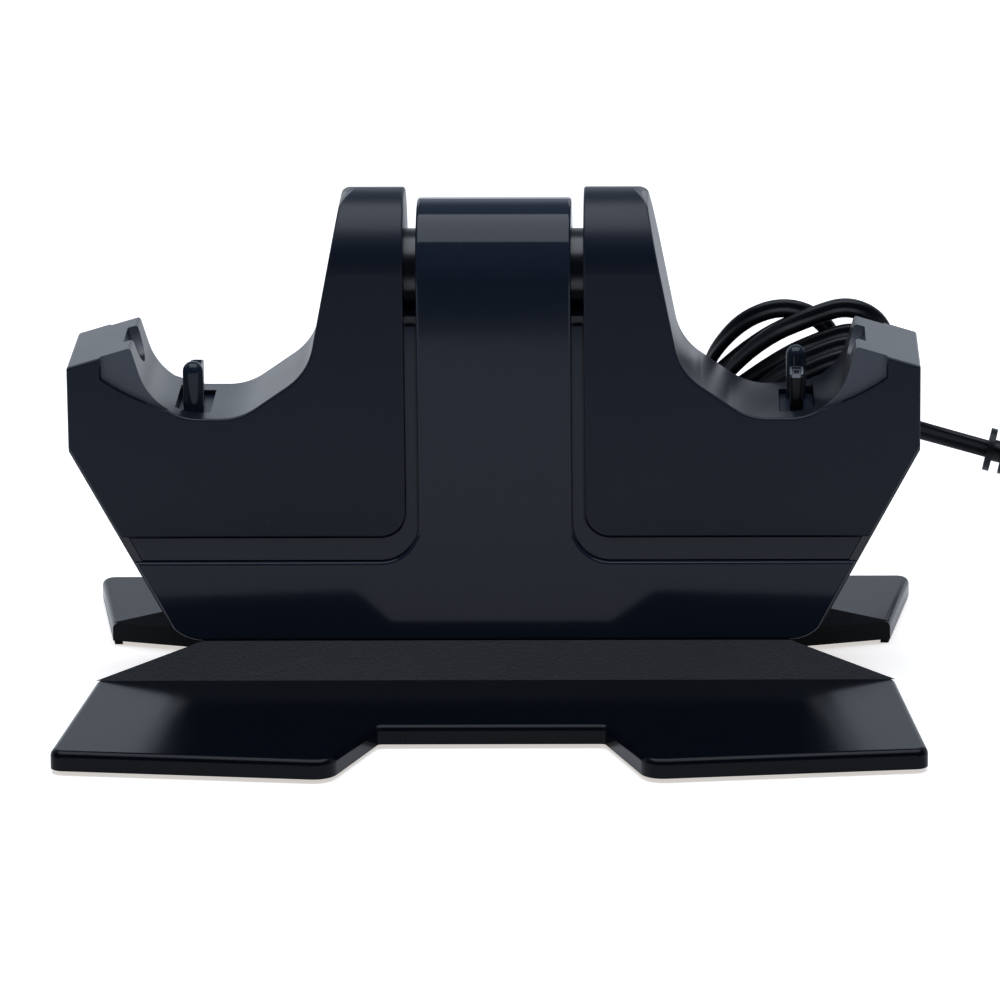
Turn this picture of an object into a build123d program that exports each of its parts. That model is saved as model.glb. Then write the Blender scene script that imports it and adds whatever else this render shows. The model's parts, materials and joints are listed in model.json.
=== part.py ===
from build123d import *
import math
import os

# Twin charging dock for two hand-held controllers, standing on an H-shaped base.
# Millimetres. X points to the right, Y to the rear and Z up.
# The origin is on the floor, under the middle of the dock without its cord.

os.makedirs("parts", exist_ok=True)

# Fits
fit = 0.15  # round a cover in its seat
bore_fit = 0.05  # round a pin, plug or screw in its bore
lip_fit = 0.05  # between a cover's lip and the rim that it laps
seam = 0.2  # between the front and rear covers along the top

# Base plate: distances to the front and rear are from the upright body's middle
foot_height = 0.9
plate_top = 4.7
plate_edge_round = 1.3
front_reach = 71.8
front_corner_reach = 65.6
front_half = 83.5
rear_reach = 54.0
rear_half = 83.4
crease_reach = 20.0
crease_half = 78.3
waist_half = 57.7
notch_reach = 49.6
notch_half = 21.7
notch_mouth_half = 30.0
plate_corner = 2.5
notch_corner = 1.0
mouth_corner = 4.5
base_cover = 1.2
skirt = 2.4
foot_width = 1.6
foot_inset = 0.4
front_foot_span = (-61.0, -36.0)
rear_foot_span = (20.4, 44.0)

# Plinth
plinth_wall = 2.0
plinth_roof = 2.2

# Upright body, seen from the front
body_depth = 28.0
body_bottom = 11.0
body_half = 83.0
side_spread = 20.6  # from the underside's end out to the body's side
underside_round = 8.0
shoulder_z = 49.4
hook_outer_z = 66.3
hook_width = 12.4
hook_tip_z = 70.0
hook_round = 0.6
valley_z = 56.0
saddle_floor = 16.85
valley_in_round = 12.0
saddle_edge = 16.65  # from the body's side in to the saddle's floor
valley_out_round = 12.2
tower_foot_x = 36.2
tower_foot_z = 65.2
tower_foot_round = 12.0
tower_inner = 17.5
tower_top_x = 29.6
tower_corner = 4.5
tower_top = 98.8
deck_z = 76.0

# Layers of the upright body, from the outside in
skin = 2.0  # wing covers and fascias
lip = 0.8  # thin edge of a cover over the core's rim
rim = 1.6  # core wall that the lips lap
ledge = 1.6  # step inside the rim that carries a backing plate
backing = 1.5
cover_step = 0.4  # the covers stop short of the core along the slanted sides
cover_round = 0.45

# Wing covers, fascias and the band between them
wing_bottom = 32.0
wing_corner = 5.0
column_half = 15.05
strip_top = 27.0
column_corner = 7.5
fascia_round = 0.6
roller_z = 82.65
roller_wall = 1.8
neck_radius = 8.0
web = 2.0  # plate inside the towers that ties their inner and outer walls
web_drop = 12.0
neck_gap = 0.6
band_gap = 0.3

# Hook ends: distances of the scoop's low edge are from the body's side
scoop_depth = 1.4
scoop_start = (6.6, 63.9)
scoop_middle = (13.7, 59.8)
scoop_stop = (22.0, 56.95)
pocket_width = 11.5
pocket_drop = 6.0
pocket_depth = 2.0

# Connectors
connector_in = 24.0  # from the body's side
pin_spread = 6.1
plug_spread = 3.1
slot_length = 17.4
slot_width = 6.9
block_top = 55.0
block_bottom = 48.0
flange_reach = 1.3
pin_diameter = 4.0
pin_top = 65.65
plug_width = 6.8
plug_thickness = 2.6
plug_top = 62.8
plug_corner = 0.9
plug_wall = 0.4
plug_mouth = 5.0
stem_bottom = 50.0
board_thickness = 1.6
connector_board = (14.0, 18.0)

# Main board and screws
board_size = (80.0, 17.0)
boss_diameter = 6.4
boss_height = 9.0
screw_diameter = 2.6
screw_head = 5.2
screw_head_height = 1.2
screw_bite = 6.0
body_screw_grid = (64.0, 10.0)
base_screw_grid = (100.0, 16.0)

# Cord, gland, hank and adapter
cord_diameter = 3.8
gland_x = -45.0
gland_z = 18.5
gland_neck = 6.0
gland_flange = 8.4
gland_flange_thickness = 1.6
boot_tip = 5.4
boot_ring = 7.2
boot_pitch = 3.35
boot_rings = 4
boot_ring_share = 0.6
hank_place = (38.6, 29.1, 39.3)
hank_upper = 35.0
hank_upper_radius = 17.5
hank_lower = 32.5
hank_lower_radius = 13.5
hank_waist_radius = 8.0
hank_thickness = 11.5
hank_round = 3.5
hank_tilt = 42.0
hank_lean = 17.0
tie_width = 7.0
tie_thickness = 1.0
tie_gap = 0.3
tie_slack = 1.4
relief_reach = 20.6
relief_droop = 13.0
relief_core = 4.6
relief_ring = 9.1
relief_pitch = 3.25
relief_rings = 7
relief_ring_share = 0.42
adapter_turn = -5.0
adapter_height = 40.0
adapter_length = 58.0
adapter_depth = 25.0
adapter_face = 3.0
adapter_round = 3.0
adapter_edge = 1.6
blade_length = 16.0
blade_width = 6.3
blade_thickness = 1.5
blade_pitch = 12.7
blade_from_end = 20.0

# Cord routes, from the gland to the hank and from the hank to the adapter's relief.
# Distances to the rear are from the upright body's middle.
lead_route = [
    (-45.0, 36.5, 18.5),
    (-43.0, 45.5, 16.5),
    (-37.0, 53.0, 13.0),
    (-27.5, 56.5, 9.6),
    (-16.0, 55.0, 7.6),
    (-5.0, 49.5, 6.9),
    (5.0, 43.0, 7.2),
    (14.5, 39.0, 8.6),
]
run_route = [
    (56.6, 30.4, 40.5),
    (59.0, 39.0, 38.2),
    (60.2, 49.0, 37.4),
    (62.2, 61.0, 35.8),
    (66.2, 73.5, 33.5),
    (72.4, 83.5, 30.6),
    (80.7, 90.1, 27.4),
    (90.4, 93.0, 23.8),
    (100.6, 92.1, 21.1),
]

# Derived values
half = body_depth / 2
rim_half = half - lip
skin_half = half - skin
ledge_half = skin_half - backing
tower_round_z = tower_top - half
past_top = tower_top + half
past_side = body_half + half
underside_half = body_half - side_spread
hook_tip_x = body_half - hook_width
valley_out = body_half - saddle_edge
valley_in = valley_out - saddle_floor
connector_x = body_half - connector_in
scoop_half = half - scoop_depth
boot_start = half + gland_flange_thickness
boot_end = boot_start + boot_rings * boot_pitch


def level(z):
    """Floor-parallel plane at height z, centred under the upright body."""
    return Plane(origin=(0, body_y, z))


def side_x(z):
    """Half-width of the slanted side of the body at height z."""
    share = (z - body_bottom) / (shoulder_z - body_bottom)
    return underside_half + share * (body_half - underside_half)


def tower_x(z):
    """Outer edge of the right tower at height z."""
    share = (z - tower_foot_z) / (tower_top - tower_foot_z)
    return tower_foot_x + share * (tower_top_x - tower_foot_x)


def foot_x(reach):
    """Half-width of the base's skirt, less its round, at a distance from the body's middle."""
    far_half, far_reach = (front_half, -front_corner_reach) if reach < 0 else (rear_half, rear_reach)
    near_reach = math.copysign(crease_reach, reach)
    share = (reach - near_reach) / (far_reach - near_reach)
    return crease_half + share * (far_half - crease_half) - foot_inset


def both_halves(right):
    """A right-hand outline joined with its mirror image."""
    with BuildSketch() as whole:
        add(right)
        mirror(about=Plane.YZ)
    return whole.sketch


def inset(outline, amount):
    """The outline drawn in by an amount, or out if the amount is negative."""
    with BuildSketch() as moved:
        add(outline)
        offset(amount=-amount, kind=Kind.INTERSECTION)
    return moved.sketch


def round_top(reach, centre_z):
    """Section across the body: upright sides with a half-round top."""
    with BuildSketch() as profile:
        with Locations((0, centre_z / 2)):
            Rectangle(2 * reach, centre_z)
        with Locations((0, centre_z)):
            Circle(reach)
    return profile.sketch


def front_edges(piece, round_z):
    """Edges round a cover's flat front, less its turn over the top and the scoop's long arc."""
    edges = piece.faces().sort_by(Axis.Y)[0].edges()
    edges = edges.filter_by(lambda edge: edge.center().Z < round_z - lip_fit)
    return edges.filter_by(lambda edge: edge.geom_type == GeomType.LINE or edge.radius < body_depth)


def finish(piece, name):
    """Name a piece and write it."""
    piece.part.label = name
    export_step(piece.part, f"parts/{name}.step")


# Base outline in the top view, measured from the upright body's middle
with BuildSketch() as right_base:
    with BuildLine():
        Polyline(
            (0, -notch_reach),
            (notch_half, -notch_reach),
            (notch_mouth_half, -front_reach),
            (front_half, -front_corner_reach),
            (crease_half, -crease_reach),
            (waist_half, -half),
            (waist_half, half),
            (crease_half, crease_reach),
            (rear_half, rear_reach),
            (0, rear_reach),
            close=True,
        )
    make_face()
    for corner, radius in (
        ((notch_half, -notch_reach), notch_corner),
        ((notch_mouth_half, -front_reach), mouth_corner),
        ((front_half, -front_corner_reach), plate_corner),
        ((rear_half, rear_reach), plate_corner),
    ):
        fillet(right_base.vertices().sort_by_distance((*corner, 0))[0], radius)
base_outline = both_halves(right_base.sketch)
cover_outline = inset(base_outline, skirt)

body_y = -base_outline.bounding_box().center().Y
lead_points = [(gland_x, body_y + boot_end, gland_z)] + [(x, body_y + y, z) for x, y, z in lead_route]
run_points = [(x, body_y + y, z) for x, y, z in run_route]
hank_centre = (hank_place[0], body_y + hank_place[1], hank_place[2])
relief_tip = run_points[-1]

# Planes through the upright body's middle: the front view, and the section across it
mid = Plane(origin=(0, body_y, 0), x_dir=(1, 0, 0), z_dir=(0, -1, 0))
section = Plane(origin=(0, body_y, 0), x_dir=(0, 1, 0), z_dir=(1, 0, 0))

# Outlines in the front view, drawn as X and Z
with BuildSketch() as right_outline:
    with BuildLine():
        Polyline(
            (0, body_bottom),
            (underside_half, body_bottom),
            (body_half, shoulder_z),
            (body_half, hook_outer_z),
            (hook_tip_x, hook_tip_z),
            (valley_out, valley_z),
            (valley_in, valley_z),
            (tower_foot_x, tower_foot_z),
            (tower_x(past_top), past_top),
            (tower_inner, past_top),
            (tower_inner, deck_z),
            (0, deck_z),
            close=True,
        )
    make_face()
    for corner, radius in (
        ((underside_half, body_bottom), underside_round),
        ((body_half, hook_outer_z), hook_round),
        ((hook_tip_x, hook_tip_z), hook_round),
        ((valley_out, valley_z), valley_out_round),
        ((valley_in, valley_z), valley_in_round),
        ((tower_foot_x, tower_foot_z), tower_foot_round),
    ):
        fillet(right_outline.vertices().sort_by_distance((*corner, 0))[0], radius)
body_outline = both_halves(right_outline.sketch)

with BuildSketch() as right_scoop:
    with BuildLine():
        low_points = [(body_half - inward, z) for inward, z in (scoop_start, scoop_middle, scoop_stop)]
        low_edge = ThreePointArc(*low_points)
        Polyline(low_edge @ 1, (low_points[2][0], tower_top), (low_points[0][0], tower_top), low_edge @ 0)
    make_face()
scoops = both_halves(right_scoop.sketch)

with BuildSketch() as wing_outline:
    add(right_outline.sketch)
    with BuildLine():
        Polyline(
            (tower_inner, wing_bottom),
            (side_x(wing_bottom) - cover_step, wing_bottom),
            (side_x(hook_outer_z) - cover_step, hook_outer_z),
            (past_side, past_top),
            (tower_inner, past_top),
            close=True,
        )
    make_face(mode=Mode.INTERSECT)
    fillet(wing_outline.vertices().sort_by_distance((tower_inner, wing_bottom, 0))[0], wing_corner)
    add(inset(right_scoop.sketch, -fit), mode=Mode.SUBTRACT)

with BuildSketch() as right_strip:
    add(right_outline.sketch)
    with BuildLine():
        Polyline(
            (0, body_bottom),
            (side_x(body_bottom) - cover_step, body_bottom),
            (side_x(strip_top) - cover_step, strip_top),
            (0, strip_top),
            close=True,
        )
    make_face(mode=Mode.INTERSECT)
with BuildSketch() as fascia_outline:
    add(both_halves(right_strip.sketch))
    with Locations((0, (body_bottom + past_top) / 2)):
        Rectangle(2 * column_half, past_top - body_bottom)
    for x in (-column_half, column_half):
        fillet(fascia_outline.vertices().sort_by_distance((x, strip_top, 0))[0], column_corner)

with BuildSketch() as roller_cut:
    with Locations((0, roller_z + past_top)):
        Rectangle(2 * past_side, 2 * past_top)
above_roller = roller_cut.sketch

# Waste round the outer corner of each tower's top
with BuildSketch() as tower_crown:
    with BuildLine():
        Polyline(
            (0, tower_round_z),
            (tower_x(tower_round_z) + fit, tower_round_z),
            (tower_x(tower_top) + fit, tower_top + fit),
            (0, tower_top + fit),
            close=True,
        )
    make_face()
    fillet(tower_crown.vertices().sort_by_distance((tower_x(tower_top), tower_top, 0))[0], tower_corner)
with BuildSketch() as right_waste:
    with Locations((past_side / 2, (tower_round_z + past_top) / 2)):
        Rectangle(past_side, past_top - tower_round_z)
    add(tower_crown.sketch, mode=Mode.SUBTRACT)
tower_waste = both_halves(right_waste.sketch)

rim_inside = inset(body_outline, rim)
ledge_inside = inset(body_outline, rim + ledge)
seat_outline = inset(body_outline, rim + fit)

# Room that every cover leaves for the core's rim
with BuildPart() as rim_room:
    with BuildSketch(mid):
        add(body_outline)
        add(seat_outline, mode=Mode.SUBTRACT)
    extrude(amount=half, both=True)
    with BuildSketch(section):
        add(round_top(rim_half + lip_fit, tower_round_z))
    extrude(amount=past_side, both=True, mode=Mode.INTERSECT)


# Core frame: saddles, hook ends, tower walls, the deck under the roller and the neck inside it
with BuildPart() as core_frame:
    with BuildSketch(mid):
        add(body_outline)
        add(rim_inside, mode=Mode.SUBTRACT)
    extrude(amount=rim_half, both=True)
    with BuildSketch(mid):
        add(rim_inside)
        add(ledge_inside, mode=Mode.SUBTRACT)
        add(above_roller, mode=Mode.SUBTRACT)
    extrude(amount=ledge_half, both=True)
    with BuildSketch(mid):
        add(body_outline)
        add(scoops, mode=Mode.INTERSECT)
    extrude(amount=scoop_half, both=True)
    for side in (1, -1):
        with BuildSketch(mid.offset(side * scoop_half)):
            add(scoops)
        extrude(amount=side * half, mode=Mode.SUBTRACT)
        with BuildSketch(mid.offset(side * (skin_half - fit))):
            with Locations((0, deck_z)):
                Rectangle(2 * tower_inner, 4 * rim)
        extrude(amount=side * half, mode=Mode.SUBTRACT)
    with BuildSketch(section):
        add(round_top(rim_half, tower_round_z))
    extrude(amount=past_side, both=True, mode=Mode.INTERSECT)
    with BuildSketch(mid):
        add(tower_waste)
    extrude(amount=half, both=True, mode=Mode.SUBTRACT)
    with BuildSketch(section):
        with Locations((0, roller_z)):
            Circle(neck_radius)
    extrude(amount=tower_inner + rim / 2, both=True)
    with BuildSketch(mid):
        add(rim_inside)
        with BuildLine():
            Polyline(
                (-past_side, deck_z - web_drop),
                (past_side, deck_z - web_drop),
                (past_side, tower_top - skin - fit),
                (-past_side, tower_top - skin - fit),
                close=True,
            )
        make_face(mode=Mode.INTERSECT)
    extrude(amount=web / 2, both=True)
    with BuildSketch(level(block_bottom)):
        with Locations((connector_x, 0), (-connector_x, 0)):
            Rectangle(slot_width, slot_length)
    extrude(amount=valley_z + rim + ledge - block_bottom, mode=Mode.SUBTRACT)
    for side in (1, -1):
        hook_face = Plane(
            origin=(side * hook_tip_x, body_y, hook_tip_z),
            x_dir=(0, side, 0),
            z_dir=(side * (hook_tip_z - valley_z), 0, valley_out - hook_tip_x),
        )
        with BuildSketch(hook_face.offset(-pocket_depth)):
            with Locations((0, pocket_width / 2 - pocket_drop)):
                Circle(pocket_width / 2)
            with Locations((0, pocket_width - pocket_drop)):
                Rectangle(pocket_width, pocket_width)
        extrude(amount=2 * pocket_depth, mode=Mode.SUBTRACT)
    with BuildSketch(level(body_bottom)):
        with GridLocations(*body_screw_grid, 2, 2):
            Circle(boss_diameter / 2)
    extrude(amount=boss_height)
    with BuildSketch(level(body_bottom)):
        with GridLocations(*body_screw_grid, 2, 2):
            Circle(screw_diameter / 2 + bore_fit)
    extrude(amount=screw_bite + rim, mode=Mode.SUBTRACT)
finish(core_frame, "core_frame")


# Wing covers: one is drawn, the other three are its mirror images
def wing_cover():
    with BuildPart() as cover:
        with BuildSketch(mid.offset(seam / 2)):
            add(wing_outline.sketch)
        extrude(amount=half - seam / 2)
        with BuildSketch(section):
            add(round_top(half, tower_round_z))
        extrude(amount=past_side, mode=Mode.INTERSECT)
        with BuildSketch(section):
            add(round_top(skin_half, tower_round_z))
        extrude(amount=past_side, mode=Mode.SUBTRACT)
        with BuildSketch(mid):
            add(tower_waste)
        extrude(amount=half, mode=Mode.SUBTRACT)
        add(rim_room.part, mode=Mode.SUBTRACT)
        fillet(front_edges(cover, tower_round_z), cover_round)
    return cover.part


front_right = wing_cover()
with BuildPart() as front_right_wing:
    add(front_right)
finish(front_right_wing, "front_right_wing")
with BuildPart() as front_left_wing:
    add(front_right)
    mirror(about=Plane.YZ, mode=Mode.REPLACE)
finish(front_left_wing, "front_left_wing")
with BuildPart() as rear_right_wing:
    add(front_right)
    mirror(about=mid, mode=Mode.REPLACE)
finish(rear_right_wing, "rear_right_wing")
with BuildPart() as rear_left_wing:
    add(rear_right_wing.part)
    mirror(about=Plane.YZ, mode=Mode.REPLACE)
finish(rear_left_wing, "rear_left_wing")


# Fascias: a T-shaped panel that turns over the top as half of the roller
def fascia_panel():
    with BuildPart() as panel:
        with BuildSketch(mid.offset(seam / 2)):
            add(fascia_outline.sketch)
        extrude(amount=half - seam / 2)
        with BuildSketch(section):
            add(round_top(half, roller_z))
        extrude(amount=past_side, both=True, mode=Mode.INTERSECT)
        with BuildSketch(section):
            add(round_top(skin_half, roller_z))
        extrude(amount=past_side, both=True, mode=Mode.SUBTRACT)
        for side in (1, -1):
            with BuildSketch(section.offset(side * column_half)):
                with Locations((0, roller_z)):
                    Circle(skin_half + skin / 2)
                with Locations((0, roller_z)):
                    Circle(neck_radius + neck_gap, mode=Mode.SUBTRACT)
                with Locations((half + seam / 2 - seam, roller_z)):
                    Rectangle(2 * half, 4 * half, mode=Mode.SUBTRACT)
                with Locations((0, deck_z + fit - 2 * half)):
                    Rectangle(4 * half, 4 * half, mode=Mode.SUBTRACT)
            extrude(amount=-side * roller_wall)
        add(rim_room.part, mode=Mode.SUBTRACT)
        fillet(front_edges(panel, roller_z), fascia_round)
    return panel.part


front_panel = fascia_panel()
with BuildPart() as front_fascia:
    add(front_panel)
finish(front_fascia, "front_fascia")
with BuildPart() as rear_fascia:
    add(front_panel)
    mirror(about=mid, mode=Mode.REPLACE)
    with BuildSketch(mid):
        with Locations((gland_x, gland_z)):
            Circle(gland_neck / 2 + bore_fit)
    extrude(amount=-half, mode=Mode.SUBTRACT)
finish(rear_fascia, "rear_fascia")


# Backing plates: they sit on the core's ledge, carry the covers and show as the raised band between them
with BuildSketch() as plate_outline:
    add(seat_outline)
    add(inset(scoops, -fit), mode=Mode.SUBTRACT)
    add(above_roller, mode=Mode.SUBTRACT)
with BuildSketch() as band_outline:
    add(plate_outline.sketch)
    add(both_halves(inset(wing_outline.sketch, -band_gap)), mode=Mode.SUBTRACT)
    add(inset(fascia_outline.sketch, -band_gap), mode=Mode.SUBTRACT)


def backing_plate():
    with BuildPart() as plate:
        with BuildSketch(mid.offset(ledge_half)):
            add(plate_outline.sketch)
        extrude(amount=backing)
        with BuildSketch(mid.offset(skin_half)):
            add(band_outline.sketch)
        extrude(amount=rim_half - skin_half)
    return plate.part


front_plate = backing_plate()
with BuildPart() as front_backing:
    add(front_plate)
finish(front_backing, "front_backing")
with BuildPart() as rear_backing:
    add(front_plate)
    mirror(about=mid, mode=Mode.REPLACE)
    with BuildSketch(mid):
        with Locations((gland_x, gland_z)):
            Circle(gland_neck / 2 + bore_fit)
    extrude(amount=-half, mode=Mode.SUBTRACT)
finish(rear_backing, "rear_backing")

# Connectors: a moulded block held up under each saddle, with a guide pin and a charging plug.
# The right dock is the left one turned half round, so its pin is at the rear.
def connector_block(side):
    with BuildPart() as block:
        with BuildSketch(level(block_bottom)):
            with Locations((side * connector_x, 0)):
                Rectangle(slot_width + 2 * flange_reach, slot_length + 2 * flange_reach)
        extrude(amount=valley_z - rim - ledge - block_bottom)
        with BuildSketch(level(block_bottom)):
            with Locations((side * connector_x, 0)):
                Rectangle(slot_width - 2 * fit, slot_length - 2 * fit)
        extrude(amount=block_top - block_bottom)
        with BuildSketch(level(stem_bottom)):
            with Locations((side * connector_x, side * pin_spread)):
                Circle(pin_diameter / 2 + bore_fit)
            with Locations((side * connector_x, -side * plug_spread)):
                RectangleRounded(plug_thickness + 2 * bore_fit, plug_width + 2 * bore_fit, plug_corner)
        extrude(amount=valley_z, mode=Mode.SUBTRACT)
    return block


def guide_pin(side):
    with BuildPart() as pin:
        with BuildSketch(level(stem_bottom)):
            with Locations((side * connector_x, side * pin_spread)):
                Circle(pin_diameter / 2)
        extrude(amount=pin_top - stem_bottom)
        fillet(pin.faces().sort_by(Axis.Z)[-1].edges(), pin_diameter / 2 - bore_fit)
    return pin


def charging_plug(side):
    with BuildPart() as plug:
        with BuildSketch(level(stem_bottom)):
            with Locations((side * connector_x, -side * plug_spread)):
                RectangleRounded(plug_thickness, plug_width, plug_corner)
        extrude(amount=plug_top - stem_bottom)
        with BuildSketch(level(plug_top - plug_mouth)):
            with Locations((side * connector_x, -side * plug_spread)):
                Rectangle(plug_thickness - 2 * plug_wall, plug_width - 2 * plug_wall)
        extrude(amount=plug_mouth, mode=Mode.SUBTRACT)
    return plug


def small_board(side):
    with BuildPart() as board:
        with BuildSketch(level(block_bottom)):
            with Locations((side * connector_x, 0)):
                Rectangle(*connector_board)
        extrude(amount=-board_thickness)
    return board


for name, side in (("left", -1), ("right", 1)):
    finish(connector_block(side), f"{name}_connector_block")
    finish(guide_pin(side), f"{name}_guide_pin")
    finish(charging_plug(side), f"{name}_plug")
    finish(small_board(side), f"{name}_connector_board")

# Main board, on the core's bosses
with BuildPart() as main_board:
    with BuildSketch(level(body_bottom + boss_height)):
        Rectangle(*board_size)
    extrude(amount=board_thickness)
finish(main_board, "main_board")

# Plinth and base
with BuildSketch() as right_plinth:
    with BuildLine():
        Polyline(
            (0, -crease_reach),
            (crease_half, -crease_reach),
            (waist_half, -half),
            (waist_half, half),
            (crease_half, crease_reach),
            (0, crease_reach),
            close=True,
        )
    make_face()
plinth_outline = both_halves(right_plinth.sketch)


def plinth_section(wall, top):
    """Sloped front and rear of the plinth, drawn in by a wall."""
    slope = (crease_reach - half) / (body_bottom - plate_top)
    with BuildSketch() as profile:
        with BuildLine():
            low = crease_reach - wall
            high = low - slope * (top - plate_top)
            Polyline((-low, plate_top), (low, plate_top), (high, top), (-high, top), close=True)
        make_face()
    return profile.sketch


with BuildPart() as plinth:
    with BuildSketch(level(plate_top)):
        add(plinth_outline)
    extrude(amount=body_bottom - plate_top)
    with BuildSketch(section):
        add(plinth_section(0, body_bottom))
    extrude(amount=past_side, both=True, mode=Mode.INTERSECT)
    with BuildSketch(level(plate_top)):
        add(inset(plinth_outline, plinth_wall))
    plinth_hollow = extrude(amount=body_bottom - plinth_roof - plate_top, mode=Mode.PRIVATE)
    with BuildSketch(section):
        add(plinth_section(plinth_wall, body_bottom - plinth_roof))
    hollow_section = extrude(amount=past_side, both=True, mode=Mode.PRIVATE)
    add(plinth_hollow & hollow_section, mode=Mode.SUBTRACT)
    with BuildSketch(level(plate_top)):
        with GridLocations(*base_screw_grid, 2, 2):
            Circle(boss_diameter / 2)
    extrude(amount=body_bottom - plinth_roof - plate_top)
    with BuildSketch(level(plate_top)):
        with GridLocations(*base_screw_grid, 2, 2):
            Circle(screw_diameter / 2 + bore_fit)
    extrude(amount=screw_bite - 2 * bore_fit, mode=Mode.SUBTRACT)
    with BuildSketch(level(plate_top)):
        with GridLocations(*body_screw_grid, 2, 2):
            Circle(screw_diameter / 2 + bore_fit)
    extrude(amount=body_bottom - plate_top, mode=Mode.SUBTRACT)
finish(plinth, "plinth")

with BuildPart() as base_shell:
    with BuildSketch(level(foot_height)):
        add(base_outline)
    extrude(amount=plate_top - foot_height)
    top_rim = base_shell.faces().sort_by(Axis.Z)[-1].edges()
    fillet(top_rim.filter_by(lambda edge: abs(edge.center().Y - body_y) > crease_reach), plate_edge_round)
    with BuildSketch(level(foot_height)):
        add(cover_outline)
    extrude(amount=base_cover, mode=Mode.SUBTRACT)
    with BuildSketch(level(foot_height)):
        with GridLocations(*base_screw_grid, 2, 2):
            Circle(screw_diameter / 2 + bore_fit)
        with GridLocations(*body_screw_grid, 2, 2):
            Circle(screw_head / 2 + fit)
    extrude(amount=plate_top, mode=Mode.SUBTRACT)
finish(base_shell, "base_shell")

with BuildPart() as base_bottom_cover:
    with BuildSketch(level(foot_height)):
        add(inset(cover_outline, fit))
        with GridLocations(*base_screw_grid, 2, 2):
            Circle(screw_head / 2 + bore_fit, mode=Mode.SUBTRACT)
    extrude(amount=base_cover)
finish(base_bottom_cover, "base_bottom_cover")

with BuildPart() as rubber_feet:
    for low, high in (front_foot_span, rear_foot_span):
        for side in (1, -1):
            with BuildSketch(level(0)):
                with BuildLine():
                    Polyline(
                        (side * foot_x(low), low),
                        (side * (foot_x(low) - foot_width), low),
                        (side * (foot_x(high) - foot_width), high),
                        (side * foot_x(high), high),
                        close=True,
                    )
                make_face()
            extrude(amount=foot_height)
finish(rubber_feet, "rubber_feet")

with BuildPart() as base_screws:
    with BuildSketch(level(foot_height)):
        with GridLocations(*base_screw_grid, 2, 2):
            Circle(screw_head / 2)
    extrude(amount=screw_head_height)
    with BuildSketch(level(foot_height)):
        with GridLocations(*base_screw_grid, 2, 2):
            Circle(screw_diameter / 2)
    extrude(amount=plate_top - foot_height + screw_bite - 4 * bore_fit)
finish(base_screws, "base_screws")

with BuildPart() as body_screws:
    with BuildSketch(level(body_bottom - plinth_roof)):
        with GridLocations(*body_screw_grid, 2, 2):
            Circle(screw_head / 2)
    extrude(amount=-screw_head_height)
    with BuildSketch(level(body_bottom - plinth_roof)):
        with GridLocations(*body_screw_grid, 2, 2):
            Circle(screw_diameter / 2)
    extrude(amount=plinth_roof + screw_bite)
finish(body_screws, "body_screws")


def ribbed_sleeve(pitch, core, ring, rings, ring_share):
    """Half section of a ribbed strain relief: X along the cord, Y the radius."""
    outline = [(0, 0)]
    for index in range(rings):
        start = index * pitch
        stop = start + ring_share * pitch
        outline += [(start, ring / 2), (stop, ring / 2), (stop, core / 2), (start + pitch, core / 2)]
    outline += [(rings * pitch, 0)]
    with BuildSketch() as profile:
        with BuildLine():
            Polyline(*outline, close=True)
        make_face()
    return profile.sketch


# Gland: clips in the rear fascia and backing, and ends in a ribbed boot
gland_axis = Axis((gland_x, body_y, gland_z), (0, 1, 0))
gland_plane = Plane(origin=(gland_x, body_y, gland_z), x_dir=(0, 1, 0), z_dir=(1, 0, 0))
with BuildPart() as cord_gland:
    with BuildSketch(gland_plane):
        with BuildLine():
            Polyline(
                (ledge_half - gland_flange_thickness, 0),
                (ledge_half - gland_flange_thickness, gland_flange / 2),
                (ledge_half, gland_flange / 2),
                (ledge_half, gland_neck / 2),
                (half, gland_neck / 2),
                (half, gland_flange / 2),
                (boot_start, gland_flange / 2),
                (boot_start, 0),
                close=True,
            )
        make_face()
    revolve(axis=gland_axis)
    with BuildSketch(Plane(origin=(gland_x, body_y + boot_start, gland_z), x_dir=(0, 1, 0), z_dir=(1, 0, 0))):
        add(ribbed_sleeve(boot_pitch, boot_tip, boot_ring, boot_rings, boot_ring_share))
    revolve(axis=gland_axis)
finish(cord_gland, "cord_gland")


def arc_radii(route):
    """Radius of the tangent arc at each inner point of a cord's route."""
    radii = []
    for before, here, after in zip(route, route[1:], route[2:]):
        run_in = Vector(*here) - Vector(*before)
        run_out = Vector(*after) - Vector(*here)
        turn = math.radians(run_in.get_angle(run_out))
        radii.append(0.45 * min(run_in.length, run_out.length) / math.tan(turn / 2))
    return radii


def cord_tube(route):
    """Cord swept along straight runs joined by tangent arcs."""
    radii = arc_radii(route)
    with BuildPart() as tube:
        with BuildLine() as path:
            FilletPolyline(*route, radius=radii)
        start = Vector(*route[0])
        with BuildSketch(Plane(origin=start, z_dir=Vector(*route[1]) - start)):
            Circle(cord_diameter / 2)
        sweep(path=path.wire())
    area = math.pi * cord_diameter**2 / 4
    print("arc radii", [round(r, 1) for r in radii])
    length = path.wire().length
    print("length", round(length, 1))
    print("volume over section times length", round(tube.part.volume / area / length, 4))
    return tube


cord_lead = cord_tube(lead_points)
finish(cord_lead, "cord_lead")
cord_run = cord_tube(run_points)
finish(cord_run, "cord_run")

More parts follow.
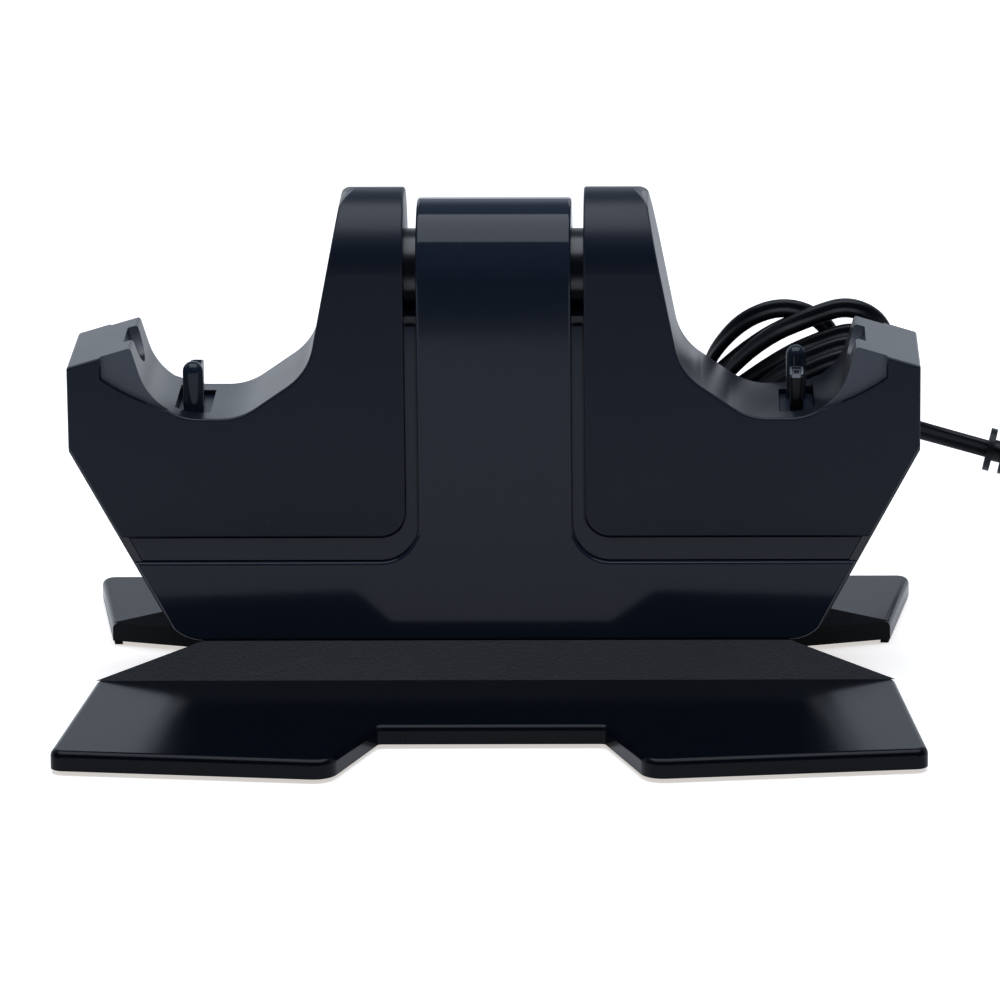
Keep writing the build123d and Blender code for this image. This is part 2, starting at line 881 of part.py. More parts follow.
# Hank: the outer shape of the coiled cord, leaning on the dock's rear, with its tie
tilt = math.radians(hank_tilt)
lean = math.radians(hank_lean)
hank_out = (0, math.cos(lean), math.sin(lean))
hank_long = (math.cos(tilt), -math.sin(tilt) * math.sin(lean), math.sin(tilt) * math.cos(lean))
hank_plane = Plane(origin=hank_centre, x_dir=hank_long, z_dir=hank_out)
with BuildPart() as cord_hank:
    for reach, radius in ((hank_upper, hank_upper_radius), (-hank_lower, hank_lower_radius)):
        with BuildSketch(hank_plane):
            Circle(hank_waist_radius)
            with Locations((reach, 0)):
                Circle(radius)
            make_hull()
        extrude(amount=hank_thickness / 2, both=True)
    for side in (0, -1):
        fillet(cord_hank.faces().sort_by(Axis(hank_centre, hank_out))[side].edges(), hank_round)
finish(cord_hank, "cord_hank")

tie_inside = (2 * (hank_waist_radius + tie_slack), hank_thickness + 2 * tie_gap)
tie_outside = (tie_inside[0] + 2 * tie_thickness, tie_inside[1] + 2 * tie_thickness)
with BuildPart() as hank_tie:
    with BuildSketch(Plane(origin=hank_centre, x_dir=hank_plane.y_dir, z_dir=hank_long)):
        RectangleRounded(*tie_outside, hank_round)
        RectangleRounded(*tie_inside, hank_round - tie_thickness, mode=Mode.SUBTRACT)
    extrude(amount=tie_width / 2, both=True)
finish(hank_tie, "hank_tie")

# Adapter: ribbed relief that droops to the case, moulded case, face plate and blades
turn = math.radians(adapter_turn)
droop = math.radians(relief_droop)
adapter_dir = Vector(math.cos(turn), math.sin(turn), 0)
adapter_out = Vector(-math.sin(turn), math.cos(turn), 0)
relief_dir = adapter_dir * math.cos(droop) - Vector(0, 0, math.sin(droop))
relief_root = Vector(*relief_tip) + relief_dir * relief_reach
adapter_floor = Plane(origin=(relief_root.X, relief_root.Y, 0), x_dir=adapter_dir, z_dir=(0, 0, 1))
with BuildPart() as adapter_relief:
    with BuildSketch(Plane(origin=relief_tip, x_dir=relief_dir, z_dir=adapter_out)):
        add(ribbed_sleeve(relief_pitch, relief_core, relief_ring, relief_rings, relief_ring_share))
    revolve(axis=Axis(relief_tip, relief_dir))
    with BuildSketch(Plane(origin=relief_root, x_dir=adapter_out, z_dir=adapter_dir)):
        Circle(adapter_height / 2)
    extrude(amount=adapter_length, mode=Mode.SUBTRACT)
finish(adapter_relief, "adapter_relief")

with BuildPart() as adapter_case:
    with BuildSketch(adapter_floor):
        with Locations((adapter_length / 2, 0)):
            RectangleRounded(adapter_length, adapter_depth, adapter_round)
    extrude(amount=adapter_height)
    fillet(adapter_case.faces().sort_by(Axis.Z)[-1].edges(), adapter_edge)
    fillet(adapter_case.faces().sort_by(Axis.Z)[0].edges(), adapter_edge)
finish(adapter_case, "adapter_case")

face_plane = Plane(
    origin=adapter_floor.from_local_coords((adapter_length / 2, adapter_depth / 2, adapter_height / 2)),
    x_dir=adapter_dir,
    z_dir=adapter_out,
)
blade_x = adapter_length / 2 - blade_from_end
with BuildPart() as adapter_face_plate:
    with BuildSketch(face_plane):
        RectangleRounded(
            adapter_length - 2 * adapter_round,
            adapter_height - 2 * adapter_round,
            adapter_round,
        )
    extrude(amount=adapter_face)
    with BuildSketch(face_plane):
        with Locations((blade_x, 0)):
            with GridLocations(blade_pitch, 0, 2, 1):
                Rectangle(blade_thickness + 2 * bore_fit, blade_width + 2 * bore_fit)
    extrude(amount=adapter_face, mode=Mode.SUBTRACT)
finish(adapter_face_plate, "adapter_face_plate")

with BuildPart() as adapter_blades:
    with BuildSketch(face_plane):
        with Locations((blade_x, 0)):
            with GridLocations(blade_pitch, 0, 2, 1):
                Rectangle(blade_thickness, blade_width)
    extrude(amount=adapter_face + blade_length)
finish(adapter_blades, "adapter_blades")
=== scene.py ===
"""Looks of the controller charging dock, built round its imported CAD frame."""

import json
import math

import bmesh
import bpy
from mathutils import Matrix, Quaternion, Vector


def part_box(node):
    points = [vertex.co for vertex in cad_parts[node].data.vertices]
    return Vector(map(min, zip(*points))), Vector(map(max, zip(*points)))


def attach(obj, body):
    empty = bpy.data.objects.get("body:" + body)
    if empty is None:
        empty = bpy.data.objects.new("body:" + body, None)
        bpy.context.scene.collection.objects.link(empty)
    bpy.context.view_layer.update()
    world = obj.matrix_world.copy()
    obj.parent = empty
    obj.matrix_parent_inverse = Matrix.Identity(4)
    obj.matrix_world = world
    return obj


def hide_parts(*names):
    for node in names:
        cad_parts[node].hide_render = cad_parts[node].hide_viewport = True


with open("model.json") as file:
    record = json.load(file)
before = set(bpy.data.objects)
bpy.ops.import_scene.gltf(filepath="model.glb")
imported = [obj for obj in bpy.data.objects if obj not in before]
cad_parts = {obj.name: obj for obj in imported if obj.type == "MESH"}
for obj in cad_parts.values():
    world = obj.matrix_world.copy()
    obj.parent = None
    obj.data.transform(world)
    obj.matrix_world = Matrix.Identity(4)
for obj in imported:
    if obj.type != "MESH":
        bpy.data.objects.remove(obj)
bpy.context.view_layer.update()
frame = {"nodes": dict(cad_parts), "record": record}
nodes = frame["nodes"]
bpy.ops.object.select_all(action="DESELECT")

scene = bpy.context.scene
scene.view_settings.view_transform = "Standard"

core_low, core_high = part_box("core_frame")
BODY_Y = (core_low.y + core_high.y) / 2


# Camera: at the photograph's angle, a little above the dock and well back
def set_camera():
    away, rise, turn = 1.3408, math.radians(15.568), math.radians(-0.425)
    target = Vector((0.049895, BODY_Y, 0.03561))
    towards = Vector((math.sin(turn) * math.cos(rise), -math.cos(turn) * math.cos(rise), math.sin(rise)))
    data = bpy.data.cameras.new("camera")
    data.sensor_width = 36.0
    data.lens = 244.45
    data.shift_x = -0.25
    camera = bpy.data.objects.new("camera", data)
    scene.collection.objects.link(camera)
    camera.location = target + away * towards
    camera.rotation_euler = (-towards).to_track_quat("-Z", "Y").to_euler()
    scene.camera = camera


set_camera()


# Lead: a flat twin lead that leaves the gland, is wound into the hank and runs to the adapter
LEAD_WIDTH = 0.0038
LEAD_THICKNESS = 0.0020
HANK_CENTRE = Vector((0.0386, BODY_Y + 0.0291, 0.0393))
HANK_TILT = math.radians(42.0)
HANK_LEAN = math.radians(17.0)
RISING = Vector((0.0, -math.sin(HANK_LEAN), math.cos(HANK_LEAN)))
RIGHT = Vector((1.0, 0.0, 0.0))
ALONG = math.cos(HANK_TILT) * RIGHT + math.sin(HANK_TILT) * RISING
ACROSS = math.cos(HANK_TILT) * RISING - math.sin(HANK_TILT) * RIGHT
DEPTH = Vector((0.0, math.cos(HANK_LEAN), math.sin(HANK_LEAN)))
# Distances to the rear are from the upright body's middle
lead_route = [
    (-0.0450, 0.0290, 0.0185),
    (-0.0450, 0.0365, 0.0185),
    (-0.0430, 0.0455, 0.0165),
    (-0.0370, 0.0530, 0.0130),
    (-0.0275, 0.0565, 0.0096),
    (-0.0160, 0.0550, 0.0076),
    (-0.0050, 0.0495, 0.0069),
    (0.0050, 0.0430, 0.0072),
    (0.0145, 0.0390, 0.0086),
]
run_route = [
    (0.0590, 0.0390, 0.0382),
    (0.0602, 0.0490, 0.0374),
    (0.0622, 0.0610, 0.0358),
    (0.0662, 0.0735, 0.0335),
    (0.0724, 0.0835, 0.0306),
    (0.0807, 0.0901, 0.0274),
    (0.0904, 0.0930, 0.0238),
    (0.1006, 0.0921, 0.0211),
    (0.1036, 0.0918, 0.0203),
]
# Each turn, in mm: upper end (along, across, radius), shoulder (along, across) on the way back,
# lower end, depth at the ends, and (across, depth) in the tie
hank_turns = [
    ((33.5, -10.2, 8.9), (25.0, 0.6), (-31.5, 0.5, 9.6), -4.6, (6.6, -3.8)),
    ((34.5, -9.0, 8.9), (25.5, 2.0), (-33.0, 1.0, 9.8), -2.3, (2.4, -3.8)),
    ((35.5, -8.0, 8.9), (26.5, 3.4), (-34.0, 0.0, 10.2), 0.0, (6.6, 0.0)),
    ((37.4, -3.9, 8.9), (26.0, 8.2), (-35.0, -0.5, 9.8), 2.3, (2.4, 0.0)),
    ((36.6, -4.8, 8.9), (25.0, 7.6), (-34.5, -1.0, 10.0), 4.6, (6.6, 3.8)),
    ((25.0, 0.5, 11.3), (16.0, 10.6), (-33.0, -1.0, 10.2), 7.0, (2.4, 3.8)),
]

# From the tie to the run, in the same mm, turning the lead's wide side upright on the way
way_out = [(0, -6.6, 5.4), (7, -8.0, 5.8), (12.5, -11.5, 6.5)]
TWIST_LENGTH = 14


def behind_middle(point):
    return Vector((point[0], BODY_Y + point[1], point[2]))


def in_hank(along, across, depth):
    return HANK_CENTRE + 0.001 * (along * ALONG + across * ACROSS + depth * DEPTH)


def on_end(end, angle, depth):
    """A point at an angle on the round end of a turn."""
    along, across, radius = end
    return in_hank(along + radius * math.cos(angle), across + radius * math.sin(angle), depth)


def turn_points(upper, shoulder, lower, depth, waist):
    """One turn of the hank, each point with the way that the lead's wide side lies."""
    tie_across, tie_depth = waist
    between = 0.75 * depth + 0.25 * tie_depth
    points = [(in_hank(0, -tie_across, tie_depth), DEPTH)]
    points.append((in_hank(15, 0.2 * -tie_across + 0.8 * (upper[1] - upper[2]), between), DEPTH))
    for degrees in (-90, -45, 0, 45, 90):
        angle = math.radians(degrees)
        outward = math.cos(angle) * ALONG + math.sin(angle) * ACROSS
        points.append((on_end(upper, angle, depth), 0.65 * DEPTH + 0.75 * outward))
    points.append((in_hank(*shoulder, depth), 0.9 * DEPTH + 0.4 * ACROSS))
    points.append((in_hank(10, 0.35 * tie_across + 0.65 * shoulder[1], between), DEPTH))
    points.append((in_hank(0, tie_across, tie_depth), DEPTH))
    points.append((in_hank(-16, 0.2 * tie_across + 0.8 * (lower[1] + lower[2]), between), DEPTH))
    for degrees in (90, 135, 180, 225, 270):
        points.append((on_end(lower, math.radians(degrees), depth), DEPTH))
    points.append((in_hank(-16, 0.2 * -tie_across + 0.8 * (lower[1] - lower[2]), between), DEPTH))
    return points


def cord_points():
    """The lead's control points, and beside each the way its wide side lies."""
    points = [(behind_middle(point), Vector((1.0, 0.0, 0.15))) for point in lead_route]
    for turn in hank_turns:
        points += turn_points(*turn)
    for along, across, depth in way_out:
        points.append((in_hank(along, across, depth), DEPTH.lerp(Vector((0, 0, 1)), along / TWIST_LENGTH)))
    points += [(behind_middle(point), Vector((0.0, 0.0, 1.0))) for point in run_route]
    return points


def make_cord():
    control = cord_points()
    data = bpy.data.curves.new("lead_line", "CURVE")
    data.dimensions = "3D"
    data.resolution_u = 6
    spline = data.splines.new("NURBS")
    spline.points.add(len(control) - 1)
    for point, (place, _) in zip(spline.points, control):
        point.co = (*place, 1.0)
    spline.order_u = 3
    spline.use_endpoint_u = True
    line = bpy.data.objects.new("lead_line", data)
    scene.collection.objects.link(line)
    bpy.context.view_layer.update()
    traced = bpy.data.meshes.new_from_object(line.evaluated_get(bpy.context.evaluated_depsgraph_get()))
    path = [vertex.co.copy() for vertex in traced.vertices]
    bpy.data.objects.remove(line)
    bpy.data.meshes.remove(traced)

    # The section: two round cores side by side, with a groove between them
    core = LEAD_THICKNESS / 2
    apart = LEAD_WIDTH / 2 - core
    section = []
    for side in (1, -1):
        for step in range(-4, 5):
            angle = math.radians(step * 33.0) + (0.0 if side > 0 else math.pi)
            section.append((side * apart + core * math.cos(angle), core * math.sin(angle)))
    mesh = bpy.data.meshes.new("cord")
    shell = bmesh.new()
    rings = []
    for index, place in enumerate(path):
        before, after = path[max(index - 1, 0)], path[min(index + 1, len(path) - 1)]
        forward = (after - before).normalized()
        at = index / (len(path) - 1) * (len(control) - 1)
        low = min(int(at), len(control) - 2)
        wide = control[low][1].lerp(control[low + 1][1], at - low)
        wide = (wide - wide.dot(forward) * forward).normalized()
        thin = forward.cross(wide)
        rings.append([shell.verts.new(place + x * wide + y * thin) for x, y in section])
    for ring, following in zip(rings, rings[1:]):
        for index in range(len(section)):
            other = (index + 1) % len(section)
            shell.faces.new((ring[index], ring[other], following[other], following[index]))
    shell.faces.new(list(reversed(rings[0])))
    shell.faces.new(rings[-1])
    bmesh.ops.recalc_face_normals(shell, faces=shell.faces)
    for face in shell.faces:
        face.smooth = True
    shell.to_mesh(mesh)
    shell.free()
    cord = bpy.data.objects.new("cord", mesh)
    scene.collection.objects.link(cord)
    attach(cord, "root")
    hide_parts("cord_lead", "cord_run", "cord_hank")
    return cord


# Twist tie round the hank's waist, with its ends twisted together
TIE_WIDTH = 0.0042
TIE_THICKNESS = 0.0007
TIE_HALF_ACROSS = 0.0092
TIE_HALF_DEPTH = 0.0064
TAIL_STEPS = 14
TAIL_STEP = 0.0011 * DEPTH - 0.0004 * ACROSS
TAIL_TWIST = Quaternion(DEPTH, math.radians(38.0))
TAIL_TAPER = 0.97


def make_tie():
    bpy.ops.object.select_all(action="DESELECT")
    bpy.ops.mesh.primitive_cylinder_add(vertices=48, radius=1.0, depth=TIE_WIDTH, end_fill_type="NOTHING")
    tie = bpy.context.object
    tie.name = "twist_tie"
    for vertex in tie.data.vertices:
        across, deep = vertex.co.x, vertex.co.y
        squarer = (across**4 + deep**4) ** -0.25
        round_waist = TIE_HALF_ACROSS * across * ACROSS + TIE_HALF_DEPTH * deep * DEPTH
        vertex.co = HANK_CENTRE + squarer * round_waist + vertex.co.z * ALONG
    bpy.ops.object.mode_set(mode="EDIT")
    shape = bmesh.from_edit_mesh(tie.data)
    tail = max(shape.faces, key=lambda face: (face.calc_center_median() - HANK_CENTRE).dot(DEPTH))
    bpy.ops.mesh.select_all(action="DESELECT")
    tail.select = True
    bmesh.update_edit_mesh(tie.data)
    for _ in range(TAIL_STEPS):
        bpy.ops.mesh.extrude_region_move(TRANSFORM_OT_translate={"value": tuple(TAIL_STEP)})
        chosen = [vertex for vertex in bmesh.from_edit_mesh(tie.data).verts if vertex.select]
        centre = sum((vertex.co for vertex in chosen), Vector()) / len(chosen)
        for vertex in chosen:
            vertex.co = centre + TAIL_TWIST @ (TAIL_TAPER * (vertex.co - centre))
        bmesh.update_edit_mesh(tie.data)
    bpy.ops.object.mode_set(mode="OBJECT")
    thick = tie.modifiers.new("thick", "SOLIDIFY")
    thick.thickness = TIE_THICKNESS
    soft = tie.modifiers.new("soft", "SUBSURF")
    soft.levels = soft.render_levels = 1
    for modifier in ("thick", "soft"):
        bpy.ops.object.modifier_apply(modifier=modifier)
    bpy.ops.object.shade_smooth()
    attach(tie, "root")
    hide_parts("hank_tie")
    return tie


# Contact tongue in the mouth of each charging plug
TONGUE_SIZE = (0.0017, 0.0059, 0.0038)
TONGUE_MIDDLE_BELOW_RIM = 0.0024
TONGUE_LIP = 0.00035
TONGUE_SLOT_DEPTH = 0.0007
TONGUE_EDGE = 0.00008


def make_tongue(name, node):
    low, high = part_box(node)
    middle = (low + high) / 2
    place = (middle.x, middle.y, high.z - TONGUE_MIDDLE_BELOW_RIM)
    bpy.ops.object.select_all(action="DESELECT")
    bpy.ops.mesh.primitive_cube_add(size=1.0, location=place, scale=TONGUE_SIZE)
    tongue = bpy.context.object
    tongue.name = name
    bpy.ops.object.transform_apply(location=True, rotation=True, scale=True)
    bpy.ops.object.mode_set(mode="EDIT")
    shape = bmesh.from_edit_mesh(tongue.data)
    bpy.ops.mesh.select_all(action="DESELECT")
    for face in shape.faces:
        face.select = face.normal.z > 0.9
    bmesh.update_edit_mesh(tongue.data)
    bpy.ops.mesh.inset(thickness=TONGUE_LIP, depth=0.0)
    bpy.ops.mesh.extrude_region_move(TRANSFORM_OT_translate={"value": (0.0, 0.0, -TONGUE_SLOT_DEPTH)})
    bpy.ops.object.mode_set(mode="OBJECT")
    edge = tongue.modifiers.new("edge", "BEVEL")
    edge.width = TONGUE_EDGE
    edge.segments = 2
    bpy.ops.object.modifier_apply(modifier="edge")
    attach(tongue, "root")
    return tongue


tie = make_tie()
cord = make_cord()
tongues = [make_tongue(f"{side}_plug_tongue", f"{side}_plug") for side in ("left", "right")]


# Effects that several finishes share
def new_group(name, inputs, outputs):
    group = bpy.data.node_groups.new(name, "ShaderNodeTree")
    for socket, value in inputs:
        made = group.interface.new_socket(socket, in_out="INPUT", socket_type="NodeSocketFloat")
        made.default_value = value
    for socket in outputs:
        group.interface.new_socket(socket, in_out="OUTPUT", socket_type="NodeSocketFloat")
    return group, group.nodes.new("NodeGroupInput"), group.nodes.new("NodeGroupOutput")


def add_node(tree, kind, settings=(), **sockets):
    """A node with its settings, and its sockets set to a value or linked to another node's output."""
    node = tree.nodes.new(kind)
    for name, value in settings:
        setattr(node, name, value)
    for name, value in sockets.items():
        key = int(name[1:]) if name[0] == "i" and name[1:].isdigit() else name.replace("_", " ")
        if isinstance(value, bpy.types.NodeSocket):
            tree.links.new(value, node.inputs[key])
        else:
            node.inputs[key].default_value = value
    return node


def maths(tree, operation, first, second=0.0):
    return add_node(tree, "ShaderNodeMath", [("operation", operation)], i0=first, i1=second).outputs[0]


def make_grain():
    """Moulded grain: fine pits of one size, and a slow change of tone between them."""
    group, given, out = new_group("moulded_grain", [("Fineness", 3000.0)], ["Height", "Tone"])
    place = add_node(group, "ShaderNodeTexCoord").outputs["Object"]
    fineness = given.outputs["Fineness"]
    pits = add_node(group, "ShaderNodeTexVoronoi", [("feature", "SMOOTH_F1")], Vector=place, Scale=fineness)
    speckle = add_node(group, "ShaderNodeTexNoise", Vector=place, Scale=fineness, Detail=2.0)
    rough_edge = maths(group, "MULTIPLY", speckle.outputs["Fac"], 0.6)
    height = maths(group, "ADD", pits.outputs["Distance"], rough_edge)
    group.links.new(height, out.inputs["Height"])
    group.links.new(speckle.outputs["Fac"], out.inputs["Tone"])
    return group


def make_handling():
    """Marks of use: broad smudges, hairline scratches and specks of dust."""
    marks = ["Smudge", "Hairline", "Dust"]
    group, given, out = new_group("handling_marks", [("Speck Spacing", 160.0)], marks)
    place = add_node(group, "ShaderNodeTexCoord").outputs["Object"]
    smudge = add_node(group, "ShaderNodeTexNoise", Vector=place, Scale=38.0, Detail=3.0, Roughness=0.55)
    group.links.new(smudge.outputs["Fac"], out.inputs["Smudge"])
    stretched = (1.0, 1.0, 0.02)
    turned = add_node(group, "ShaderNodeMapping", Vector=place, Rotation=(0.3, 0.5, 0.6), Scale=stretched)
    turned = turned.outputs["Vector"]
    lines = add_node(group, "ShaderNodeTexNoise", Vector=turned, Scale=900.0, Detail=1.0)
    lines = lines.outputs["Fac"]
    hairline = add_node(group, "ShaderNodeMapRange", Value=lines, From_Min=0.74, From_Max=0.80)
    group.links.new(hairline.outputs["Result"], out.inputs["Hairline"])
    specks = add_node(group, "ShaderNodeTexVoronoi", Vector=place, Scale=given.outputs["Speck Spacing"])
    near = maths(group, "LESS_THAN", specks.outputs["Distance"], 0.016)
    chosen = add_node(group, "ShaderNodeSeparateColor", Color=specks.outputs["Color"])
    some = maths(group, "GREATER_THAN", chosen.outputs["Red"], 0.78)
    group.links.new(maths(group, "MULTIPLY", near, some), out.inputs["Dust"])
    return group


grain_group = make_grain()
handling_group = make_handling()


# Finishes
def new_material(name):
    made = bpy.data.materials.new(name)
    made.use_nodes = True
    return made, made.node_tree, made.node_tree.nodes["Principled BSDF"]


def place_group(tree, group, **values):
    node = tree.nodes.new("ShaderNodeGroup")
    node.node_tree = group
    for name, value in values.items():
        node.inputs[name.replace("_", " ")].default_value = value
    return node


def mix_colours(tree, factor, first, second):
    node = tree.nodes.new("ShaderNodeMix")
    node.data_type = "RGBA"
    for index, value in ((0, factor), (6, first), (7, second)):
        if isinstance(value, bpy.types.NodeSocket):
            tree.links.new(value, node.inputs[index])
        else:
            node.inputs[index].default_value = value
    return node.outputs[2]


DUST_COLOUR = (0.075, 0.082, 0.095, 1.0)
SMUDGE_ROUGHNESS = 0.10
HAIRLINE_ROUGHNESS = 0.02
ZONE_ROUGHNESS = 0.25
SCOOP_FLOOR_Z = 0.0565
SCOOP_INNER_X = 0.060


def moulded_plastic(
    name, colour, lighter, roughness, specular, fineness, relief, grain_and_highlight_zone=None, painted_highlight_colour=None
):
    """Moulded plastic. A grain-and-highlight zone keeps the grain, with its own roughness and a lighter
    colour that is a painted highlight, to part of the piece.
    """
    made, tree, shader = new_material(name)
    grain = place_group(tree, grain_group, Fineness=fineness)
    marks = place_group(tree, handling_group)
    tone = mix_colours(tree, grain.outputs["Tone"], (*colour, 1.0), (*lighter, 1.0))
    if grain_and_highlight_zone:
        grain_and_highlight_mask = grain_and_highlight_zone(tree)
        # Painted highlight: the zone's lighter colour stands in for the bright grazing sheen on the scoop
        # floors
        tone = mix_colours(tree, grain_and_highlight_mask, tone, (*painted_highlight_colour, 1.0))
    dusty = mix_colours(tree, marks.outputs["Dust"], tone, DUST_COLOUR)
    tree.links.new(dusty, shader.inputs["Base Color"])
    rough = maths(tree, "MULTIPLY_ADD", marks.outputs["Smudge"], SMUDGE_ROUGHNESS)
    rough.node.inputs[2].default_value = roughness - SMUDGE_ROUGHNESS / 2
    scratched = maths(tree, "MULTIPLY", marks.outputs["Hairline"], HAIRLINE_ROUGHNESS)
    rough = maths(tree, "ADD", rough, scratched)
    height = grain.outputs["Height"]
    if grain_and_highlight_zone:
        height = maths(tree, "MULTIPLY", height, grain_and_highlight_mask)
        rough = maths(tree, "ADD", rough, maths(tree, "MULTIPLY", grain_and_highlight_mask, ZONE_ROUGHNESS))
    tree.links.new(rough, shader.inputs["Roughness"])
    bump = add_node(tree, "ShaderNodeBump", Strength=0.6, Distance=relief, Height=height)
    tree.links.new(bump.outputs["Normal"], shader.inputs["Normal"])
    shader.inputs["Specular IOR Level"].default_value = specular
    return made


def grain_and_highlight_zones(tree):
    """The core's scooped hook ends: grain, extra roughness and a painted highlight in a lighter colour."""
    place = add_node(tree, "ShaderNodeTexCoord").outputs["Object"]
    split = add_node(tree, "ShaderNodeSeparateXYZ", Vector=place)
    normal = add_node(tree, "ShaderNodeNewGeometry").outputs["Normal"]
    facing = add_node(tree, "ShaderNodeSeparateXYZ", Vector=normal)
    side = maths(tree, "ABSOLUTE", split.outputs["X"])
    flat = maths(tree, "GREATER_THAN", maths(tree, "ABSOLUTE", facing.outputs["Y"]), 0.7)
    high = maths(tree, "GREATER_THAN", split.outputs["Z"], SCOOP_FLOOR_Z)
    outside = maths(tree, "GREATER_THAN", side, SCOOP_INNER_X)
    return maths(tree, "MULTIPLY", maths(tree, "MULTIPLY", flat, high), outside)


def plated_metal(name, colour, roughness):
    """Plated steel with a fine drawn grain."""
    made, tree, shader = new_material(name)
    marks = place_group(tree, handling_group)
    place = add_node(tree, "ShaderNodeTexCoord").outputs["Object"]
    drawn = add_node(tree, "ShaderNodeMapping", Vector=place, Scale=(1.0, 1.0, 0.05))
    drawn = drawn.outputs["Vector"]
    streak = add_node(tree, "ShaderNodeTexNoise", Vector=drawn, Scale=5200.0, Detail=2.0)
    darker = tuple(0.75 * value for value in colour)
    toned = mix_colours(tree, streak.outputs["Fac"], (*darker, 1.0), (*colour, 1.0))
    tree.links.new(toned, shader.inputs["Base Color"])
    rough = maths(tree, "MULTIPLY_ADD", marks.outputs["Smudge"], 0.2)
    rough.node.inputs[2].default_value = roughness
    tree.links.new(rough, shader.inputs["Roughness"])
    shader.inputs["Metallic"].default_value = 1.0
    return made


PLUG_TIP_Z = 0.0622


def plug_metal():
    """Charging plug: black shell with bare metal at its tip."""
    made, tree, shader = new_material("plug_metal")
    marks = place_group(tree, handling_group)
    place = add_node(tree, "ShaderNodeTexCoord").outputs["Object"]
    split = add_node(tree, "ShaderNodeSeparateXYZ", Vector=place)
    tip = maths(tree, "GREATER_THAN", split.outputs["Z"], PLUG_TIP_Z)
    toned = mix_colours(tree, tip, (0.0035, 0.0037, 0.0042, 1.0), (0.22, 0.23, 0.25, 1.0))
    tree.links.new(toned, shader.inputs["Base Color"])
    tree.links.new(tip, shader.inputs["Metallic"])
    rough = maths(tree, "MULTIPLY_ADD", marks.outputs["Smudge"], 0.2)
    rough.node.inputs[2].default_value = 0.2
    tree.links.new(rough, shader.inputs["Roughness"])
    shader.inputs["Specular IOR Level"].default_value = 0.25
    return made


gloss = moulded_plastic(
    "gloss_black",
    colour=(0.0105, 0.0154, 0.0256),
    lighter=(0.0125, 0.0179, 0.0294),
    roughness=0.08,
    specular=0.23,
    fineness=700.0,
    relief=0.000002,
)
plate_gloss = moulded_plastic(
    "plate_gloss",
    colour=(0.0016, 0.0026, 0.0045),
    lighter=(0.0022, 0.0034, 0.0058),
    roughness=0.17,
    specular=0.12,
    fineness=900.0,
    relief=0.000003,
)
satin = moulded_plastic(
    "satin_black",
    colour=(0.0045, 0.0080, 0.0168),
    lighter=(0.0061, 0.0102, 0.0208),
    roughness=0.36,
    specular=0.26,
    fineness=5200.0,
    relief=0.000010,
)
core_satin = moulded_plastic(
    "core_satin",
    colour=(0.0035, 0.0054, 0.0096),
    lighter=(0.0054, 0.0077, 0.0128),
    roughness=0.29,
    specular=0.60,
    fineness=2600.0,
    relief=0.00010,
    grain_and_highlight_zone=grain_and_highlight_zones,
    # Painted highlight: this lighter grey on the scoop floors stands in for their grazing sheen
    painted_highlight_colour=(0.0660, 0.0750, 0.0950),
)
grained = moulded_plastic(
    "grained_black",
    colour=(0.0019, 0.0029, 0.0048),
    lighter=(0.0096, 0.0122, 0.0173),
    roughness=0.46,
    specular=0.16,
    fineness=2300.0,
    relief=0.00012,
)
vinyl = moulded_plastic(
    "soft_black",
    colour=(0.0022, 0.0029, 0.0042),
    lighter=(0.0038, 0.0046, 0.0061),
    roughness=0.36,
    specular=0.22,
    fineness=3600.0,
    relief=0.000030,
)
adapter = moulded_plastic(
    "adapter_black",
    colour=(0.0020, 0.0026, 0.0038),
    lighter=(0.0034, 0.0042, 0.0056),
    roughness=0.42,
    specular=0.20,
    fineness=3400.0,
    relief=0.000040,
)
rubber = moulded_plastic(
    "rubber",
    colour=(0.0050, 0.0050, 0.0052),
    lighter=(0.0085, 0.0085, 0.0088),
    roughness=0.75,
    specular=0.25,
    fineness=2200.0,
    relief=0.000060,
)
board = moulded_plastic(
    "board",
    colour=(0.016, 0.105, 0.045),
    lighter=(0.024, 0.140, 0.062),
    roughness=0.35,
    specular=0.40,
    fineness=1500.0,
    relief=0.000010,
)
steel = plated_metal("steel", (0.56, 0.57, 0.59), 0.22)
contact = plated_metal("contact", (0.20, 0.21, 0.23), 0.35)
plug = plug_metal()
looks = {
    "gloss_black": gloss,
    "satin_black": satin,
    "grained_black": grained,
    "soft_black": vinyl,
    "adapter_black": adapter,
    "rubber": rubber,
    "steel": steel,
    "board": board,
}
own_looks = {"core_frame": core_satin, "base_shell": plate_gloss, "left_plug": plug, "right_plug": plug}

for row in frame["record"]["subparts"]:
    piece = nodes[row["node"]]
    piece.data.materials.clear()
    piece.data.materials.append(own_looks.get(row["node"], looks[row["material_slot"]]))
for piece in (cord, tie):
    piece.data.materials.append(vinyl)
for tongue in tongues:
    tongue.data.materials.append(contact)


# Floor and light
FLOOR_SIZE = 8.0
FLOOR_GLOSSY_SHARE = 0.25
TABLE_EDGE = 0.30
FLAG_SIZE = 2.4
BOX_PLACE = (0.0, BODY_Y - 0.12, 1.05)
BOX_TARGET = (0.0, BODY_Y - 0.12, 0.0)
BOX_SIZE = (1.4, 1.0)
BOX_POWER = 13.2
BOX_COLOUR = (0.91, 0.97, 1.08)


